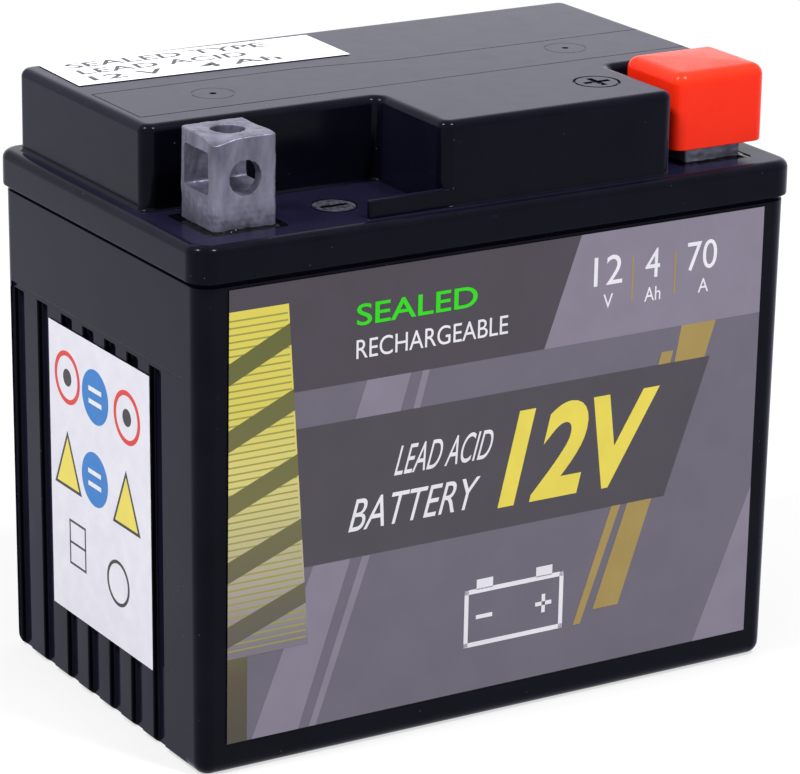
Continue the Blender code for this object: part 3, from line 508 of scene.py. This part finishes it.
def makeLid():
    # Rim, raised block and rib are joined into one. Cut out of it: the strip's pocket, the channel, the
    # hollow that takes the container's neck, the terminal pits and the two signs. The six valve
    # spigots are then joined on, each a cylinder with a smaller one cut from its middle.
    s = ls
    wide, fine = s["skirtEase"]
    rim = loft(rectanglePath(lidLow[0], lidHigh[0], lidLow[1], lidHigh[1], s["corner"], 12),
               [(wide, s["skirt"]), (fine, s["skirt"] + fine), (0, s["skirt"] + wide)]
               + roundOver(s["rimRound"], s["rim"], 8))
    piece = rawPiece("lidShell", rim)
    rib = loft(rectanglePath(s["ribLeft"], s["noseLeft"] + s["ribBury"],
                             s["front"] + s["ribClear"], s["front"] + s["ribThick"],
                             s["ribCorner"], 6),
               [(0, s["rim"] - s["ribSink"])] + roundOver(s["ribRound"], s["ribTop"], 5), 0.1)
    combine(piece, [blockShape(), rib], "UNION")
    pocket = loft(seamPath, [(0, s["top"] - s["stripThick"]), (0, s["top"] + 2)])
    channel = block(*s["channel"], s["channelFloor"], s["top"])
    neck = cs["neckInset"] - s["neckRoom"]
    neckPath = rectanglePath(-halfX + neck, halfX - neck, -halfY + neck, halfY - neck, cs["corner"], 8)
    under = loft(neckPath, [(0, s["skirt"] - 2), (0, containerHigh[2] + 0.3)])
    combine(piece, [pocket, channel, under])
    for low, high in (negLow, negHigh), (posLow, posHigh):
        m = s["pitMargin"]
        pit = loft(rectanglePath(low[0] - m, high[0] + m, low[1] - m, high[1] + m, s["pitCorner"], 5),
                   [(0, s["rim"] - s["pitDepth"]), (0, s["rim"] + 0.2)])
        combine(piece, [pit])
    r, inner, d = s["markRadius"], s["markRadius"] - s["markWidth"], s["markDepth"]
    reach, half = s["markReach"], s["markBar"]
    for x, y, z, upright in ((s["plusX"], s["plusY"], s["top"], True),
                             (s["minusX"], s["minusY"], s["rim"], False)):
        low, high = z - d, z + s["past"]
        cuts = [ringShape(x, y, r, inner, low, high),
                block(x - reach, x + reach, y - half, y + half, low, high)]
        if upright:
            cuts.append(block(x - half, x + half, y - reach, y + reach, low, high))
        combine(piece, cuts)
    floor, top = s["channelFloor"], s["valveTop"]
    combine(piece, [disc(x, stripY, s["valveRadius"], floor - 0.4, top) for x in valveX], "UNION")
    combine(piece, [disc(x, stripY, s["valveBore"], floor + 0.2, top + 1) for x in valveX])
    finishPiece(piece, [made["mouldedBlack"], made["etchedBlack"]], ["lid"])
    # The minus disc has the mould's etched texture: every face inside its ring takes that finish.
    spots = [v.co / mm for v in piece.data.vertices]
    edge = s["insideEdge"]
    inside = [math.hypot(v.x - s["minusX"], v.y - s["minusY"]) < inner + edge
              and abs(v.z - s["rim"]) < edge for v in spots]
    for face in piece.data.polygons:
        face.material_index = int(all(inside[i] for i in face.vertices))
    print("lid made:", len(piece.data.polygons), "faces")


makeLid()

stripSizes = dict(seam=0.13, edgeDrop=0.14, edgeEase=(0.03, 0.04), edgeInset=0.12, hole=0.6,
                  ringOuter=3.6, ringInner=3.45, ringDepth=0.06, stopRadius=2.5)


def makeStrip():
    # The seam outline moved in by the seam's width and trimmed to the block, with a vent hole and its
    # fine ring over each flame arrestor and a stop hanging over each valve.
    s, top = stripSizes, ls["top"]
    under = top - ls["stripThick"]
    easeIn, easeDown = s["edgeEase"]
    piece = rawPiece("ventStrip", loft(seamPath, [
        (s["seam"], under + 0.1), (s["seam"], top - s["edgeDrop"]),
        (s["seam"] + easeIn, top - easeDown), (s["seam"] + s["edgeInset"], top)], 0.1))
    combine(piece, [blockShape(0.02, under - 1)], "INTERSECT")
    vents = nodes["flame_arrestor_right"].data.vertices
    ventX = (max(v.co.x for v in vents) + min(v.co.x for v in vents)) / 2 / mm
    for x in (-ventX, ventX):
        combine(piece, [disc(x, stripY, s["hole"], under - 1, top + 1, 24),
                        ringShape(x, stripY, s["ringOuter"], s["ringInner"], top - s["ringDepth"],
                                  top + ls["past"])])
    stops = [disc(x, stripY, s["stopRadius"], stripLow[2], under + 0.4) for x in valveX]
    combine(piece, stops, "UNION")
    finishPiece(piece, [made["mouldedBlack"]], ["vent_cover"])
    print("vent strip made:", len(piece.data.polygons), "faces")


makeStrip()

terminalSizes = dict(cavityFront=2.1, cavityBack=1.4, cavityLow=94.6, cavityHigh=101.3, hole=2.75,
                     frontHole=97.2, topHoleY=-22.65, edge=0.30, cornerShare=1.8, bury=0.9,
                     voxel=0.20, smoothing=3, rough=0.045, fineShare=0.5, coarseScale=1.1,
                     fineScale=4.0, shrink=0.04, slump=0.9, slumpArea=9.0, slumpHeight=2.6)
ts = terminalSizes


def wobble(points, scale, seed):
    # Sum of sines in turned directions: a repeatable, soft, noise-like height between about -1 and 1.
    draw = np.random.RandomState(seed)
    total = np.zeros(len(points))
    for k in range(14):
        way = draw.normal(size=3)
        way *= scale * (0.5 + 1.3 * draw.rand()) / np.linalg.norm(way)
        total += np.sin(points @ way + 6.3 * draw.rand())
    return total / 3.5


def makeTerminal(name, node, low, high, seed):
    # A cast block with a nut cavity and two holes, its skin moved along the normals by the wobble. One
    # corner slumps: drop = depth times exp(-distance squared / area), growing above the cavity.
    x, y = (low[0] + high[0]) / 2, (low[1] + high[1]) / 2
    half = (high[0] - low[0]) / 2
    front, back = y - half, y + half
    body = loft(rectanglePath(x - half, x + half, front, back, ts["cornerShare"] * ts["edge"], 4),
                [(0, ls["rim"] - ts["bury"])] + roundOver(ts["edge"], high[2], 4), 0.15)
    piece = rawPiece(name, body)
    cavity = block(x - half - 1, x + half + 1, front + ts["cavityFront"], back - ts["cavityBack"],
                   ts["cavityLow"], ts["cavityHigh"])
    points, faces = disc(0, 0, ts["hole"], 0, 6)
    frontHole = (points[:, [0, 2, 1]] + (x, front - 1, ts["frontHole"]), [f[::-1] for f in faces])
    topHole = disc(x, ts["topHoleY"], ts["hole"], ts["cavityHigh"] - 1, high[2] + 1)
    combine(piece, [cavity, frontHole, topHole])
    melt = piece.modifiers.new("melt", "REMESH")
    melt.mode, melt.voxel_size = "VOXEL", ts["voxel"] * mm
    ease = piece.modifiers.new("ease", "SMOOTH")
    ease.factor, ease.iterations = 0.5, ts["smoothing"]
    bake(piece)
    count = len(piece.data.vertices)
    points, normals = np.zeros(count * 3), np.zeros(count * 3)
    piece.data.vertices.foreach_get("co", points)
    piece.data.vertices.foreach_get("normal", normals)
    points, normals = points.reshape(-1, 3) / mm, normals.reshape(-1, 3)
    coarse = wobble(points, ts["coarseScale"], seed)
    fine = wobble(points, ts["fineScale"], seed + 1)
    lift = ts["rough"] * (coarse + ts["fineShare"] * fine) - ts["shrink"]
    away = (points[:, 0] - low[0]) ** 2 + (points[:, 1] - low[1]) ** 2
    slump = ts["slump"] * np.exp(-away / ts["slumpArea"])
    points = points + normals * lift[:, None]
    points[:, 2] -= slump * np.clip((points[:, 2] - ts["cavityHigh"]) / ts["slumpHeight"], 0, 1)
    np.clip(points, low, high, out=points)
    piece.data.vertices.foreach_set("co", (points * mm).ravel())
    piece.data.update()
    finishPiece(piece, [made["castLead"]], [node], sharp=60)
    print(name, "made:", len(piece.data.polygons), "faces")


makeTerminal("negativeCasting", "negative_terminal", negLow, negHigh, 11)
makeTerminal("positiveCasting", "positive_terminal", posLow, posHigh, 23)


sealSizes = dict(gap=0.02, rows=70, sink=0.12, climb=0.30, reach=0.45, ripple=0.05, scale=2.2)


def makeSeal(name, node, low, high, seed):
    # Poured seal: height falls away from the terminal's sides as exp(-distance), with a slow ripple.
    s, rows = sealSizes, sealSizes["rows"]
    m = ls["pitMargin"] - s["gap"]
    u, v = np.meshgrid(np.linspace(low[0] - m, high[0] + m, rows),
                       np.linspace(low[1] - m, high[1] + m, rows))
    away = np.hypot(np.maximum(0, np.maximum(low[0] - u, u - high[0])),
                    np.maximum(0, np.maximum(low[1] - v, v - high[1]))).ravel()
    flat = np.column_stack([u.ravel(), v.ravel(), np.zeros(u.size)])
    ripple = s["ripple"] * wobble(flat, s["scale"], seed)
    z = ls["rim"] - s["sink"] + s["climb"] * np.exp(-away / s["reach"]) + ripple
    top = np.column_stack([flat[:, :2], z])
    bottom = atHeight(flat[:, :2], ls["rim"] - ls["pitDepth"] + s["gap"])
    i = np.arange(rows * rows).reshape(rows, rows)
    quads = np.stack([i[:-1, :-1], i[:-1, 1:], i[1:, 1:], i[1:, :-1]], -1).reshape(-1, 4)
    rim = np.concatenate([i[0, :-1], i[:-1, -1], i[-1, :0:-1], i[:0:-1, 0]])
    after = np.roll(rim, -1)
    under = rows * rows  # where the bottom's points start
    side = np.stack([rim + under, after + under, after, rim], -1)
    faces = np.concatenate([quads, quads[:, ::-1] + under, side]).tolist()
    piece = rawPiece(name, (np.concatenate([top, bottom]), faces))
    finishPiece(piece, [made["glossBlack"]], [node], sharp=60)
    print(name, "made:", len(piece.data.polygons), "faces")


makeSeal("negativeSealPour", "negative_seal", negLow, negHigh, 5)
makeSeal("positiveSealPour", "positive_seal", posLow, posHigh, 6)

capSizes = dict(corner=2.2, edge=2.1, wall=0.9, innerRound=1.2, lip=0.15, roof=0.8, crown=0.28,
                topRings=10, middle=0.04)


def makeCap():
    # One closed skin: up the inside, over the lower edge, up the outside and onto a crowned top. The
    # top's rings are the outline drawn in towards the middle, and rise as one minus share squared.
    s = capSizes
    x0, y0, z0 = capLow
    x1, y1, z1 = capHigh
    middle = np.array([(x0 + x1) / 2, (y0 + y1) / 2])
    outer, out = rectanglePath(x0, x1, y0, y1, s["corner"], 10)
    wall, lip, crown = s["wall"], s["lip"], s["crown"]
    shoulder = z1 - crown
    roof = shoulder - s["roof"]

    def crowned(edge, height):
        return [atHeight(middle + share * (edge - middle), height + crown * (1 - share ** 2))
                for share in np.linspace(1, s["middle"], s["topRings"])[1:]]

    innerLevels = [(wall + a, z) for a, z in roundOver(s["innerRound"], roof, 6)][::-1]
    lipLevels = [(wall, z0 + lip), (wall - lip, z0), (lip, z0), (0, z0 + lip)]
    levels = innerLevels + lipLevels + roundOver(s["edge"], shoulder, 10)
    rings = (crowned(outer - (wall + s["innerRound"]) * out, roof)[::-1]
             + [atHeight(outer - inset * out, z) for inset, z in levels]
             + crowned(outer - s["edge"] * out, shoulder))
    piece = rawPiece("redTerminalCap", skin(rings))
    finishPiece(piece, [made["redCap"]], ["terminal_cap"], "terminal_cap", 50)
    print("cap made:", len(piece.data.polygons), "faces")


makeCap()

film = dict(thick=0.03, gap=0.05)  # every printed shape is this thick; the label clears the wall by the gap


def prism(outline, lift):
    # A flat shape as a thin closed sheet: outline (u, v) at two lifts, joined round its edge.
    outline = np.array(outline, float)
    nextOne = np.roll(outline, -1, 0)
    if np.sum(outline[:, 0] * nextOne[:, 1] - nextOne[:, 0] * outline[:, 1]) < 0:
        outline = outline[::-1]
    count = len(outline)
    index = np.arange(count)
    after = (index + 1) % count
    sides = np.stack([index, after, after + count, index + count], -1).tolist()
    points = np.concatenate([atHeight(outline, lift - film["thick"]), atHeight(outline, lift)])
    return points, [index[::-1].tolist(), (index + count).tolist()] + sides


def bar(u0, u1, v0, v1, lift):
    # A printed rectangle between two u and two v values.
    return prism([(u0, v0), (u1, v0), (u1, v1), (u0, v1)], lift)


def hoop(u, v, outer, inner, lift):
    # A printed ring between two radii.
    return ringShape(u, v, outer, inner, lift - film["thick"], lift, 48)


def lettering(words, u, v, height, span, lift, slant=0.0, weight=0.0):
    # The built-in typeface made into a mesh, then scaled to a height and a span, slanted and laid
    # with its lower left corner at (u, v).
    curve = bpy.data.curves.new("letters", "FONT")
    curve.body, curve.size, curve.extrude, curve.offset = words, 1.0, 0.5, weight
    curve.resolution_u = 6
    holder = bpy.data.objects.new("letters", curve)
    bpy.context.scene.collection.objects.link(holder)
    bpy.context.view_layer.update()
    view = bpy.context.evaluated_depsgraph_get()
    mesh = bpy.data.meshes.new_from_object(holder.evaluated_get(view))
    points = np.zeros(len(mesh.vertices) * 3)
    mesh.vertices.foreach_get("co", points)
    points = points.reshape(-1, 3)
    faces = [list(p.vertices) for p in mesh.polygons]
    bpy.data.objects.remove(holder)
    bpy.data.curves.remove(curve)
    bpy.data.meshes.remove(mesh)
    low, high = points.min(0), points.max(0)
    along, up, out = ((points - low) / (high - low)).T
    tip = slant * height
    flat = np.column_stack([u + (span - tip) * along + tip * up, v + height * up,
                            lift - film["thick"] + film["thick"] * out])
    return flat, faces


def onFront(p):
    # Label (u, v, lift) to the leaning front wall: u along X, v up, lift out of the face.
    return np.column_stack([p[:, 0], -(halfY - lean(p[:, 1])) - film["gap"] - p[:, 2], p[:, 1]])


def onEnd(p):
    # Label (u, v, lift) to the leaning panel on the left end: u towards the front, v up.
    wall = halfX - lean(p[:, 1]) - cs["panelInset"]
    return np.column_stack([-wall - film["gap"] - p[:, 2], -p[:, 0], p[:, 1]])


def makeLabel(name, node, place, layers):
    # Layers are (finish, shape) pairs, all placed by one formula and kept in a single mesh.
    names = list(dict.fromkeys(finish for finish, _ in layers))
    points, faces, which, start = [], [], [], 0
    for finish, (p, f) in layers:
        points.append(place(p))
        faces += [[start + i for i in face] for face in f]
        which += [names.index(finish)] * len(f)
        start += len(p)
    piece = rawPiece(name, (np.concatenate(points), faces))
    finishPiece(piece, [made[n] for n in names], [node])
    piece.data.polygons.foreach_set("material_index", which)
    piece.data.polygons.foreach_set("use_smooth", [False] * len(faces))
    piece.modifiers.clear()
    print(name, "made:", len(layers), "shapes")


# Places are (u, v) on the front. Shapes are finish, lift and corners; bars are finish, lift, two u and
# two v; words are finish, text, u, v, height, span, lift, slant and weight.
frontPrint = dict(
    ground=(-51, 51, 5.4, 81.6), split=63.1, groundLift=0.18,
    shapes=[
        ("inkPale", 0.20, [(14.35, 81.6), (7.7, 63.1), (51, 63.1), (51, 81.6)]),
        ("inkPale", 0.20, [(-25.9, 63.1), (-17.7, 63.1), (-19.6, 56.9), (-28.0, 56.9)]),
        ("inkPale", 0.20, [(-15.5, 63.1), (-14.2, 63.1), (-15.9, 56.9), (-17.2, 56.9)]),
        ("inkPale", 0.20, [(-35.4, 33.2), (-28.5, 33.2), (-37.9, 5.4), (-46.5, 5.4)]),
        ("inkPale", 0.20, [(-26.3, 33.2), (-24.8, 33.2), (-34.6, 5.4), (-35.9, 5.4)]),
        ("inkPale", 0.20, [(51, 32.0), (51, 5.4), (40.1, 5.4)]),
        ("inkBand", 0.22, [(-51, 56.9), (41.1, 56.9), (32.8, 33.3), (-51, 33.3)]),
        ("inkGold", 0.215, [(22.2, 33.3), (24.0, 33.3), (16.6, 13.2), (15.2, 13.2)]),
        ("inkGold", 0.215, [(25.4, 33.3), (30.3, 33.3), (24.2, 15.3), (19.1, 15.3)]),
        ("inkGold", 0.215, [(31.2, 59.0), (33.5, 59.0), (33.0, 56.9), (30.6, 56.9)]),
        ("inkGold", 0.21, [(35.0, 63.1), (42.0, 63.1), (40.0, 56.9), (33.9, 56.9)])],
    bars=[
        ("fadeOlive", 0.225, -51, -47.4, 5.4, 20.0),
        ("inkGold", 0.23, 24.5, 24.8, 68.9, 76.4), ("inkGold", 0.23, 33.0, 33.3, 68.9, 76.4),
        ("inkWhite", 0.23, -6.5, 13.0, 22.6, 23.4), ("inkWhite", 0.23, -6.5, 13.0, 13.2, 14.0),
        ("inkWhite", 0.23, -6.5, -5.7, 13.2, 23.4), ("inkWhite", 0.23, 12.2, 13.0, 13.2, 23.4),
        ("inkWhite", 0.23, -4.2, -1.0, 23.2, 25.0), ("inkWhite", 0.23, 7.5, 10.7, 23.2, 25.0),
        ("inkWhite", 0.23, -4.2, -1.0, 18.0, 18.7), ("inkWhite", 0.23, 7.5, 10.7, 18.0, 18.7),
        ("inkWhite", 0.23, 8.75, 9.45, 16.7, 20.0)],
    words=[
        ("inkGreen", "SEALED", -28.0, 72.4, 3.6, 22.5, 0.23, 0.0, 0.01),
        ("inkWhite", "RECHARGEABLE", -28.0, 66.9, 3.2, 28.5, 0.23),
        ("inkWhite", "LEAD ACID", -20.6, 46.0, 5.0, 19.4, 0.24, 0.28),
        ("inkWhite", "BATTERY", -29.0, 37.8, 5.4, 25.0, 0.24, 0.28),
        ("inkYellow", "12V", -0.6, 36.8, 16.6, 31.7, 0.24, 0.24, 0.035),
        ("inkWhite", "12", 17.0, 72.4, 5.0, 5.6, 0.23), ("inkWhite", "V", 19.0, 68.4, 2.4, 1.9, 0.23),
        ("inkWhite", "4", 27.2, 72.4, 5.0, 2.9, 0.23), ("inkWhite", "Ah", 27.2, 68.4, 2.4, 3.2, 0.23),
        ("inkWhite", "70", 35.6, 72.4, 5.0, 6.0, 0.23), ("inkWhite", "A", 38.0, 68.4, 2.4, 2.1, 0.23)],
    panel=dict(left=-51, top=78.0, foot=20.0, right=-40.4, shift=4.2, lift=0.225),
    stripes=dict(count=5, first=22.0, pitch=11.0, rise=5.2, thick=3.6, lift=0.24),
    lines=dict(first=21.2, last=77.5, pitch=1.15, thick=0.26, gap=0.3, lift=0.235),
)


def panelRight(z):
    # The panel's leaning right edge: x = top x + shift times fall from top / panel height.
    s = frontPrint["panel"]
    return s["right"] + (s["top"] - z) * s["shift"] / (s["top"] - s["foot"])


def frontLayers():
    # Grounds, shapes, bars and words, then the panel: stripe k starts k pitches above the first, and
    # both stripes and lines end at the panel's leaning edge.
    s = frontPrint
    left, right, low, high = s["ground"]
    layers = [("inkMid", bar(left, right, low, s["split"], s["groundLift"])),
              ("inkUpper", bar(left, right, s["split"], high, s["groundLift"]))]
    layers += [(finish, prism(corners, lift)) for finish, lift, corners in s["shapes"]]
    layers += [(finish, bar(*sides, lift)) for finish, lift, *sides in s["bars"]]
    layers += [(finish, lettering(*given)) for finish, *given in s["words"]]
    panel, stripe, line = s["panel"], s["stripes"], s["lines"]
    edge, top, foot = panel["left"], panel["top"], panel["foot"]
    layers.append(("fadeYellow", prism([(edge, top), (panelRight(top), top), (panelRight(foot), foot),
                                        (edge, foot)], panel["lift"])))
    for z in stripe["first"] + stripe["pitch"] * np.arange(stripe["count"]):
        near, far = z + stripe["rise"], z + stripe["rise"] + stripe["thick"]
        layers.append(("fadeMoss", prism([(edge, z), (panelRight(near), near), (panelRight(far), far),
                                          (edge, z + stripe["thick"])], stripe["lift"])))
    for z in np.arange(line["first"], line["last"], line["pitch"]):
        layers.append(("inkOlive", bar(edge, panelRight(z) - line["gap"], z, z + line["thick"],
                                       line["lift"])))
    return layers


makeLabel("frontLabelPrint", "front_label", onFront, frontLayers())

endPrint = dict(sheet=(-18.4, 17.4, 13.0, 63.4), sheetLift=0.18, lift=0.20,
                rings=((-11.8, 54.8), (9.5, 54.1)), ringOuter=4.6, ringInner=3.75, dot=1.5,
                discs=((-1.7, 54.3), (-2.3, 39.8)), discRadius=4.7, dashReach=2.3,
                dashes=((0.7, 1.5), (-1.5, -0.7)), dashLift=0.23,
                triangles=((-12.1, 35.2), (8.9, 34.7)), outerReach=4.9, outerRise=10.2,
                innerReach=4.0, innerFoot=0.55, innerTop=9.0, innerLift=0.215,
                box=(-9.0, 25.6), boxBars=((-3.0, 3.0, 4.0, 4.4), (-3.0, -2.6, -3.6, 4.4),
                                           (2.6, 3.0, -3.6, 4.4), (-3.0, 3.0, -3.6, -3.2),
                                           (-3.0, 3.0, 0.2, 0.6)),
                circle=(5.6, 24.2, 4.0, 3.4))


def endLayers():
    # Plain coloured shapes with no meaning, in the end label's own (u, v).
    s, lift = endPrint, endPrint["lift"]
    over = lift + 0.01
    layers = [("paperWhite", bar(*s["sheet"], s["sheetLift"]))]
    for u, v in s["rings"]:
        layers.append(("inkRed", hoop(u, v, s["ringOuter"], s["ringInner"], over)))
        layers.append(("inkBlack", disc(u, v, s["dot"], lift - film["thick"], lift, 32)))
    for u, v in s["discs"]:
        layers.append(("inkBlue", disc(u, v, s["discRadius"], over - film["thick"], over, 48)))
        for low, high in s["dashes"]:
            layers.append(("inkWhite", bar(u - s["dashReach"], u + s["dashReach"], v + low, v + high,
                                           s["dashLift"])))
    for u, v in s["triangles"]:
        wide, narrow, foot = s["outerReach"], s["innerReach"], v + s["innerFoot"]
        layers.append(("inkBlack", prism([(u - wide, v), (u + wide, v), (u, v + s["outerRise"])], lift)))
        layers.append(("inkYellow", prism([(u - narrow, foot), (u + narrow, foot),
                                           (u, v + s["innerTop"])], s["innerLift"])))
    u, v = s["box"]
    for left, right, low, high in s["boxBars"]:
        layers.append(("inkBlack", bar(u + left, u + right, v + low, v + high, lift)))
    layers.append(("inkBlack", hoop(*s["circle"], lift)))
    return layers


makeLabel("endLabelPrint", "end_label", onEnd, endLayers())

topPrint = dict(turn=-1.6, x=-25.9, y=22.3, raised=0.03, sheet=(-25.2, 25.2, -7.85, 7.85),
                sheetLift=0.12, left=-21.5, height=3.1, lift=0.135, weight=0.015,
                rows=(("SEALED TYPE", 37.0, 3.3), ("LEAD ACID", 31.0, -1.3), ("12 V   4 Ah", 35.0, -5.9)))


def onTop(p):
    # The top label lies flat on the block, turned a little about its own middle.
    turn = math.radians(topPrint["turn"])
    x = p[:, 0] * math.cos(turn) - p[:, 1] * math.sin(turn) + topPrint["x"]
    y = p[:, 0] * math.sin(turn) + p[:, 1] * math.cos(turn) + topPrint["y"]
    return np.column_stack([x, y, ls["top"] + topPrint["raised"] + p[:, 2]])


def topLayers():
    # A white sheet with three rows of plain words.
    s = topPrint
    layers = [("paperWhite", bar(*s["sheet"], s["sheetLift"]))]
    for words, span, v in s["rows"]:
        layers.append(("inkBlack", lettering(words, s["left"], v, s["height"], span, s["lift"],
                                             weight=s["weight"])))
    return layers


makeLabel("topLabelPrint", "top_label", onTop, topLayers())

# Pieces inside keep their CAD shape and take only a finish.
innerFinishes = {"post": "castLead", "cell_link": "castLead", "positive_plates": "positivePaste",
                 "negative_plates": "negativePaste", "separator": "glassMat",
                 "valve_cap": "valveRubber", "flame_arrestor": "porousDisc"}
for name, node in nodes.items():
    for key, finish in innerFinishes.items():
        if key in name:
            node.data.materials.clear()
            node.data.materials.append(made[finish])
print("inside finishes given")

studio = dict(floorSize=4.0, floorColour=0.28, floorGlow=0.64, worldLight=0.62, aimHeight=0.06)
lamps = dict(
    leftLamp=dict(azimuth=178, height=55, away=1.10, power=9.0, size=0.18),
    frontLamp=dict(azimuth=291, height=60, away=1.10, power=10.0, size=0.18),
    backLamp=dict(azimuth=58, height=22, away=1.50, power=1.2, size=1.20),
)


def anyRay(tree, kinds):
    # One where the ray is of any of the kinds, else nothing: the largest of their flags.
    path = tree.nodes.new("ShaderNodeLightPath")
    flag = path.outputs[kinds[0]]
    for kind in kinds[1:]:
        larger = tree.nodes.new("ShaderNodeMath")
        larger.operation = "MAXIMUM"
        tree.links.new(flag, larger.inputs[0])
        tree.links.new(path.outputs[kind], larger.inputs[1])
        flag = larger.outputs[0]
    return flag


def mixed(tree, flag, usual, seen):
    # The usual shader, or the seen one where the flag is one.
    mix = tree.nodes.new("ShaderNodeMixShader")
    tree.links.new(flag, mix.inputs[0])
    tree.links.new(usual.outputs[0], mix.inputs[1])
    tree.links.new(seen.outputs[0], mix.inputs[2])
    return mix.outputs[0]


def makeFloor():
    # A matt floor that glows only for the camera and for reflections, so it reads white.
    finish, tree, shader = newFinish("paleFloor")
    shade = studio["floorColour"]
    shader.inputs["Base Color"].default_value = (shade, shade, shade, 1)
    shader.inputs["Roughness"].default_value = 0.9
    shader.inputs["Specular IOR Level"].default_value = 0.0
    glow = tree.nodes.new("ShaderNodeEmission")
    glow.inputs["Strength"].default_value = studio["floorGlow"]
    both = tree.nodes.new("ShaderNodeAddShader")
    tree.links.new(shader.outputs[0], both.inputs[0])
    tree.links.new(glow.outputs[0], both.inputs[1])
    flag = anyRay(tree, ("Is Camera Ray", "Is Glossy Ray"))
    tree.links.new(mixed(tree, flag, shader, both), tree.nodes["Material Output"].inputs["Surface"])
    half = studio["floorSize"] / 2 / mm
    corners = [(-half, -half, 0), (half, -half, 0), (half, half, 0), (-half, half, 0)]
    piece = rawPiece("floor", (corners, [[0, 1, 2, 3]]))
    piece.data.materials.append(finish)


def makeWorld():
    # White all round: full strength where it is seen or mirrored, weaker as light on the pieces.
    world = bpy.data.worlds.new("studio")
    bpy.context.scene.world = world
    world.use_nodes = True
    tree = world.node_tree
    back = tree.nodes["Background"]
    bright = tree.nodes.new("ShaderNodeBackground")
    for node, strength in ((back, studio["worldLight"]), (bright, 1.0)):
        node.inputs["Color"].default_value = (1, 1, 1, 1)
        node.inputs["Strength"].default_value = strength
    flag = anyRay(tree, ("Is Camera Ray", "Is Glossy Ray", "Is Transmission Ray"))
    tree.links.new(mixed(tree, flag, back, bright), tree.nodes["World Output"].inputs["Surface"])


def makeLamp(name, azimuth, height, away, power, size):
    # Placed by direction from the object's middle, and turned so its face points there.
    across, rise = math.radians(azimuth), math.radians(height)
    way = Vector((math.cos(rise) * math.cos(across), math.cos(rise) * math.sin(across),
                  math.sin(rise)))
    lamp = bpy.data.lights.new(name, "AREA")
    lamp.energy, lamp.size = power, size
    holder = bpy.data.objects.new(name, lamp)
    bpy.context.scene.collection.objects.link(holder)
    place = way * away + Vector((0, 0, studio["aimHeight"]))
    holder.matrix_world = Matrix.Translation(place) @ way.to_track_quat("Z", "Y").to_matrix().to_4x4()
    holder.visible_camera = False


makeFloor()
makeWorld()
for name, given in lamps.items():
    makeLamp(name, **given)

cameraSizes = dict(place=(-0.332353, -0.545239, 0.258161), right=(0.855212, -0.518070, 0.014685),
                   up=(0.150209, 0.274878, 0.949673), lens=177.424, sensor=36.0, clip=(0.05, 20))
lens = bpy.data.cameras.new("camera")
lens.lens, lens.sensor_width = cameraSizes["lens"], cameraSizes["sensor"]
lens.sensor_fit = "HORIZONTAL"
lens.clip_start, lens.clip_end = cameraSizes["clip"]
viewer = bpy.data.objects.new("camera", lens)
bpy.context.scene.collection.objects.link(viewer)
right, up = np.array(cameraSizes["right"]), np.array(cameraSizes["up"])
turned = Matrix(np.column_stack([right, up, np.cross(right, up)]).tolist())
viewer.matrix_world = Matrix.Translation(cameraSizes["place"]) @ turned.to_4x4()
bpy.context.scene.camera = viewer
bpy.context.scene.view_settings.view_transform = "Standard"
print("stage, lights and camera ready")
